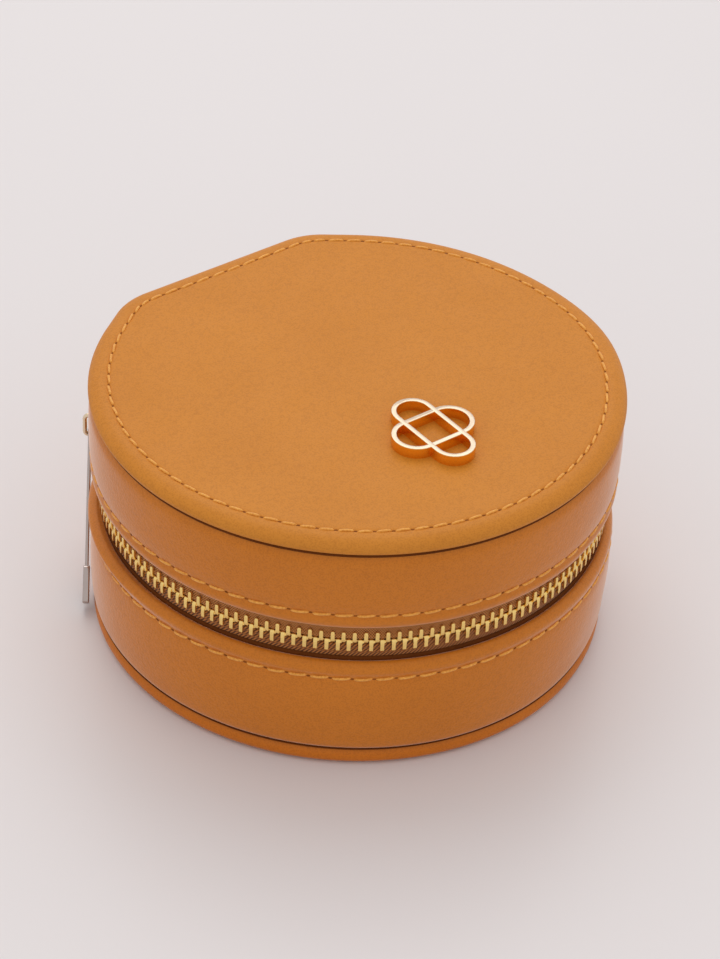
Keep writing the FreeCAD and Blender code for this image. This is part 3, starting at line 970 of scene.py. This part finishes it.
def pull_turn():
    """Matrix that takes the pull from angle zero to its place, turned about the bail's pin."""
    axis = Vector(joint_by_name["pull_swing"]["axis"])
    yaw = math.atan2(axis.y, axis.x) - SLIDER_ANGLE
    pin = Matrix.Translation((PIN_R, 0, 0))
    return SLIDER_TURN @ pin @ Matrix.Rotation(yaw, 4, "Z") @ pin.inverted()


SLIDER_TURN = Matrix.Rotation(SLIDER_ANGLE, 4, "Z")
PULL_TURN = pull_turn()
EYE_Z = joint_by_name["pull_swing"]["pos_m"][2]


def make_bail():
    """A small rounded loop of wire that turns on the slider's bridge."""
    corners = rounded_rectangle(PIN_R, PIN_R + BAIL_REACH, EYE_Z, 2 * ZIP_Z - EYE_Z, BAIL_CORNER)
    path = [Vector((out, 0, z)) for out, z in corners]
    side = Vector((0, 1, 0))
    bm = bmesh.new()
    rings = []
    for i, p in enumerate(path):
        up = (path[(i + 1) % len(path)] - path[i - 1]).normalized().cross(side)
        rings.append([bm.verts.new(p + side * a + up * b) for a, b in circle(BAIL_WIRE, 12)])
    join_rings(bm, rings, looped=True)
    bail = finish_mesh("pull_bail_loop", bm, GOLD)
    bail.data.transform(PULL_TURN)
    attach(bail, "bail", "gold_plate", "pull_bail")


def make_tab():
    """The long polished tab that hangs from the bail: a flat stem with an eye, and a grip."""
    lean = Matrix.Rotation(PULL_LEAN, 4, "X")
    eye_spot = Matrix.Translation((0, 0, EYE_Z))
    stand = Matrix(((0, 0, 1, PIN_R + TAB_OUT), (1, 0, 0, 0), (0, 1, 0, EYE_Z), (0, 0, 0, 1)))
    onto_bail = PULL_TURN @ eye_spot @ lean @ eye_spot.inverted() @ stand
    turns = [EYE_START + math.pi * k / 20 for k in range(25)]
    stem = [(EYE_R * math.cos(a), EYE_R * math.sin(a)) for a in turns]
    stem += [(-STEM_HALF, -EYE_R), (-STEM_HALF, -STEM_END), (STEM_HALF, -STEM_END),
             (STEM_HALF, -EYE_R)]
    hole = circle(HOLE_R, 24)
    grip = rounded_rectangle(-GRIP_HALF, GRIP_HALF, -TAB_LENGTH, -GRIP_START, 0.8 * MM)
    for name, outlines, thick in (("pull_tab_stem", (stem, hole), STEM_THICK),
                                  ("pull_tab_grip", (grip,), GRIP_THICK)):
        piece = plate_from(name, outlines, thick, 0.2 * MM, TAB_METAL)
        piece.data.transform(onto_bail)
        attach(piece, "tab", "gold_plate", "pull_tab")


def rounded_rectangle(x0, x1, y0, y1, corner, steps=6):
    """Outline of a rectangle whose corners are arcs of steps + 1 points."""
    points = []
    for k, (x, y) in enumerate(((x1, y1), (x0, y1), (x0, y0), (x1, y0))):
        cx = x - corner if x == x1 else x + corner
        cy = y - corner if y == y1 else y + corner
        for j in range(steps + 1):
            a = (k + j / steps) * math.pi / 2
            points.append((cx + corner * math.cos(a), cy + corner * math.sin(a)))
    return points


def plate_from(name, outlines, thick, edge, material):
    """A flat plate with softened edges; outlines after the first are holes."""
    curve = bpy.data.curves.new(name, "CURVE")
    curve.dimensions = "2D"
    curve.fill_mode = "BOTH"
    for points in outlines:
        spline = curve.splines.new("POLY")
        spline.points.add(len(points) - 1)
        for point, (a, b) in zip(spline.points, points):
            point.co = (a, b, 0, 1)
        spline.use_cyclic_u = True
    curve.extrude = thick / 2 - edge
    curve.bevel_depth = edge
    curve.bevel_resolution = 3
    curve.offset = -edge
    return curve_to_mesh(name, curve, material)


def curve_to_mesh(name, curve, material):
    """Turns a filled 2D curve into a clean mesh object."""
    temp = new_object(name + "_curve", curve)
    graph = bpy.context.evaluated_depsgraph_get()
    mesh = bpy.data.meshes.new_from_object(temp.evaluated_get(graph))
    bpy.data.objects.remove(temp)
    bpy.data.curves.remove(curve)
    mesh.name = name
    mesh.materials.clear()
    mesh.materials.append(material)
    bm = bmesh.new()
    bm.from_mesh(mesh)
    bmesh.ops.remove_doubles(bm, verts=bm.verts, dist=1e-6)
    bmesh.ops.recalc_face_normals(bm, faces=bm.faces)
    bm.to_mesh(mesh)
    bm.free()
    return smooth_by_angle(new_object(name, mesh), 35)


def make_stops():
    """Small folded metal stops clamped to the tapes at both ends of the chain."""
    for name, body, z0, z1 in (
            ("base_zip_stops", "base", TEETH_LOW, ZIP_Z - 0.1 * MM),
            ("lid_zip_stops", "lid", ZIP_Z + 0.1 * MM, TEETH_HIGH)):
        low, high = (z1 - 0.5 * MM, z1) if body == "base" else (z0, z0 + 0.5 * MM)
        bm = bmesh.new()
        for angle in STOP_ANGLES:
            turn = Matrix.Rotation(math.radians(angle), 4, "Z")
            for r0, r1 in STOP_CLIPS:
                add_box(bm, (r0, -STOP_HALF_WIDTH, z0), (r1, STOP_HALF_WIDTH, z1), turn)
            add_box(bm, (STOP_CLIPS[0][0], -STOP_HALF_WIDTH, low),
                    (STOP_CLIPS[1][1], STOP_HALF_WIDTH, high), turn)
        stops = finish_mesh(name + "_clips", bm, ZIP_METAL, False)
        bevelled(stops, 0.12 * MM, 2)
        smooth_by_angle(stops, 35)
        attach(stops, body, "zip_metal", name)


make_tapes()
make_teeth()
make_slider()
make_bail()
make_tab()
make_stops()


# ------ emblem

def loop_outline(half_x, half_y):
    """A long loop with round ends, as points about its middle."""
    return rounded_rectangle(-half_x, half_x, -half_y, half_y, min(half_x, half_y), 7)


EMBLEM_STROKE = 1.15 * MM
LOOPS = ((4.1 * MM, 11.0 * MM), (9.2 * MM, 4.7 * MM))     # half width and half length


def make_emblem():
    """Two long polished loops that cross, standing on the lid."""
    low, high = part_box("emblem")
    middle_y = (low.y + high.y) / 2
    half = EMBLEM_STROKE / 2
    height = high.z - LID_TOP + 0.1 * MM
    for index, (half_x, half_y) in enumerate(LOOPS):
        outer = loop_outline(half_x + half, half_y + half)
        inner = loop_outline(half_x - half, half_y - half)
        name = "emblem_loop_" + str(index + 1)
        ring = plate_from(name, (outer, inner), height, 0.13 * MM, EMBLEM_FACE)
        # Up-facing faces take the paler face metal and the rest the deeper side metal: painted
        # reflection on one gold.
        ring.data.materials.append(EMBLEM_SIDE)
        for polygon in ring.data.polygons:
            polygon.material_index = 0 if polygon.normal.z > 0.6 else 1
        drop = 0.0 if index == 0 else 0.02 * MM
        ring.data.transform(Matrix.Translation((0, middle_y, high.z - height / 2 - drop)))
        attach(ring, "lid", "gold_plate", "emblem")


make_emblem()


# ------ inside

def make_floor_lining():
    low = bottom_of("base_floor_lining") / MM
    top = FLOOR_TOP / MM
    edge = rounded([(9.5, top), (7.5, top), (6.6, top - 0.05), (5.9, top - 0.35), (5.75, low + 0.2),
                    (6.3, low), (9.0, low)], closed=False)
    floor = lid_like("base_floor_suede", edge, FLOOR_TOP, low * MM, SUEDE)
    attach(floor, "base", "suede_lining", "base_floor_lining")


# The rolled lip of a wall lining: insets, and distances from its rim, in millimetres
LINING_LIP = ((5.66, 1.6), (5.5, 0.5), (5.0, 0.05), (4.2, 0.15), (3.6, 0.5), (3.45, 1.2),
              (4.4, 1.8), (4.75, 3.0))


def make_wall_linings():
    foot = bottom_of("base_floor_lining") / MM + 0.2
    rim = LINING_TOP / MM
    profile = [(5.6, foot), (5.62, 10.0), (5.64, 20.0)]
    profile += [(inset, rim - fall) for inset, fall in LINING_LIP]
    profile += [(4.75, 18.0), (4.75, 10.0), (4.75, foot)]
    wall = sweep("base_wall_suede", rounded(profile), SUEDE, wave=0.08 * MM, seed=8.0, step=0.8)
    attach(wall, "base", "suede_lining", "base_wall_lining")
    head = top_of("lid_wall_lining") / MM - 0.05
    rim = LID_LINING_LOW / MM
    profile = [(5.6, head), (5.64, 50.0), (5.66, 43.0)]
    profile += [(inset, rim + rise) for inset, rise in LINING_LIP]
    profile += [(4.75, 46.0), (4.75, head)]
    wall = sweep("lid_wall_suede", rounded(profile), SUEDE, wave=0.08 * MM, seed=9.0, step=0.8)
    attach(wall, "lid", "suede_lining", "lid_wall_lining")


def make_lid_card():
    low = bottom_of("lid_panel_lining") / MM
    top = top_of("lid_panel_lining") / MM
    edge = rounded([(10.0, low), (7.0, low), (5.3, low + 0.1), (4.85, low + 0.5), (5.3, top),
                    (9.0, top)], closed=False)
    card = lid_like("lid_panel_suede", edge, low * MM, top * MM, SUEDE)
    attach(card, "lid", "suede_lining", "lid_panel_lining")


DIVIDER_BULGE = 0.05 * MM


def padded_box(name, low, high):
    """A wrapped card: a thin closed box with a soft rounded top and slightly full sides."""
    size = high - low
    long_axis = 0 if size.x > size.y else 1
    thin_axis = 1 - long_axis
    count = max(8, int(26 * FINE))
    arc = 8
    half = size[thin_axis] / 2
    middle = (low[thin_axis] + high[thin_axis]) / 2
    top_start = size.z - half
    section = [(-half, 0.0), (-half, top_start * 0.35), (-half, top_start * 0.7)]
    for k in range(arc + 1):
        a = math.pi - math.pi * k / arc
        section.append((half * math.cos(a), top_start + half * math.sin(a)))
    section += [(half, top_start * 0.7), (half, top_start * 0.35), (half, 0.0)]
    bm = bmesh.new()
    rings = []
    for i in range(count + 1):
        f = i / count
        full = 0.93 * min(1.0, 6 * min(f, 1 - f) + 0.55) ** 0.2
        ring = []
        for across, up in section:
            p = [0.0, 0.0, low.z + up]
            p[long_axis] = low[long_axis] + size[long_axis] * f
            wave = noise.noise(Vector((p[long_axis] * 90, up * 60, low.x * 50)))
            p[thin_axis] = middle + across * full + DIVIDER_BULGE * wave
            ring.append(bm.verts.new(p))
        rings.append(ring)
    join_rings(bm, rings, capped=True)
    return smooth_by_angle(finish_mesh(name, bm, SUEDE), 50)


def make_dividers():
    for node in ("divider_cross", "divider_back", "divider_left", "divider_right", "divider_front"):
        low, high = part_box(node)
        wall = padded_box(node + "_suede", low, high)
        attach(wall, "base", "suede_lining", node)


def roll_shape(low, high):
    """A slightly slim roll with domed ends, for the cloth to swell from."""
    bm = bmesh.new()
    radius = (high.y - low.y) / 2 * 0.90
    middle_y = (low.y + high.y) / 2
    top_z = high.z - (high.y - low.y) / 2
    count, around = 40, 28
    rings = []
    for i in range(count + 1):
        f = i / count
        x = low.x + (high.x - low.x) * (0.012 + 0.976 * f)
        end = min(f, 1 - f) * (high.x - low.x)
        share = min(1.0, 0.62 + 0.38 * math.sqrt(max(0.0, min(1.0, end / (3.5 * MM)))))
        ring = []
        for y, z in circle(radius * share, around):
            if z < 0:
                z = max(z * 1.6, low.z + 0.5 * MM - top_z)
            ring.append(bm.verts.new((x, middle_y + y, top_z + z)))
        rings.append(ring)
    join_rings(bm, rings, capped=True)
    return bm


CLOTH_FRAMES = 20


def swell(obj, voxel, pressure, cap):
    """Fills a closed mesh like a cushion with pressure, and limits how far a point moves."""
    remesh = obj.modifiers.new("remesh", "REMESH")
    remesh.mode = "VOXEL"
    remesh.voxel_size = voxel
    apply_modifiers(obj)
    rest = [v.co.copy() for v in obj.data.vertices]
    cloth = obj.modifiers.new("cloth", "CLOTH")
    cloth.settings.use_pressure = True
    cloth.settings.uniform_pressure_force = pressure
    cloth.settings.effector_weights.gravity = 0.0
    cloth.settings.quality = 6
    cloth.settings.mass = 0.02
    cloth.point_cache.frame_start = 1
    cloth.point_cache.frame_end = CLOTH_FRAMES
    scene = bpy.context.scene
    for step in range(1, CLOTH_FRAMES + 1):
        scene.frame_set(step)
    apply_modifiers(obj)
    scene.frame_set(1)
    for v, start in zip(obj.data.vertices, rest):
        move = v.co - start
        if move.length > cap:
            v.co = start + move * (cap / move.length)


def make_rolls():
    """Four padded ring rolls, swelled by a short cloth simulation."""
    for index in range(1, 5):
        node = "ring_roll_" + str(index)
        low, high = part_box(node)
        roll = finish_mesh(node + "_cushion", roll_shape(low, high), SUEDE_ROLL)
        swell(roll, voxel=1.1 * MM, pressure=4.0, cap=0.55 * MM)
        sub = roll.modifiers.new("sub", "SUBSURF")
        sub.levels = sub.render_levels = 1
        apply_modifiers(roll)
        shape_to_bay(roll, low, high)
        for polygon in roll.data.polygons:
            polygon.use_smooth = True
        attach(roll, "base", "suede_lining", node)


def shape_to_bay(obj, low, high):
    """Keeps a padded piece inside its bay, flat where it meets the floor and its neighbours."""
    slack = 0.05 * MM
    for v in obj.data.vertices:
        for k in range(3):
            v.co[k] = min(max(v.co[k], low[k] + slack), high[k] - slack)


def make_mirror():
    """Round mirror with a soft suede ring round its edge."""
    low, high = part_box("mirror_frame")
    outer = high.x / MM
    lip = 34.5
    z0 = low.z / MM
    z1 = high.z / MM
    profile = rounded([
        (lip, z0 + 0.75), (lip + 0.2, z0 + 0.25), (lip + 1.4, z0), (lip + 3.3, z0),
        (lip + 5.0, z0 + 0.15), (outer - 0.25, z0 + 0.8), (outer - 0.05, z0 + 1.9),
        (outer - 0.3, z1 - 0.1), (38.2, z1 - 0.05), (38.1, z0 + 2.7), (36.1, z0 + 2.5),
        (36.1, z0 + 0.9)], per=4)
    bm = bmesh.new()
    rings = [[bm.verts.new((r * x, r * y, z)) for r, z in profile]
             for x, y in circle(1.0, int(200 * FINE))]
    join_rings(bm, rings, looped=True)
    ring = finish_mesh("mirror_suede_ring", bm, SUEDE)
    attach(ring, "lid", "suede_lining", "mirror_frame")


def finish_cad_nodes():
    """Hidden boards, the mirror glass and the washers keep their CAD shape."""
    # The base wall board, seen only in the gap below the rolled edge, takes the dark crease material
    # as painted shade.
    looks = {"base_board": BOARD, "base_wall_board": PAINTED_CREASE_SHADE, "lid_board": BOARD,
             "lid_wall_board": BOARD, "mirror_card": BOARD, "mirror_glass": MIRROR,
             "emblem_washers": ZIP_METAL}
    for name, material in looks.items():
        obj = frame["nodes"][name]
        obj.data.materials.clear()
        obj.data.materials.append(material)


make_floor_lining()
make_wall_linings()
make_lid_card()
make_dividers()
make_rolls()
make_mirror()
finish_cad_nodes()
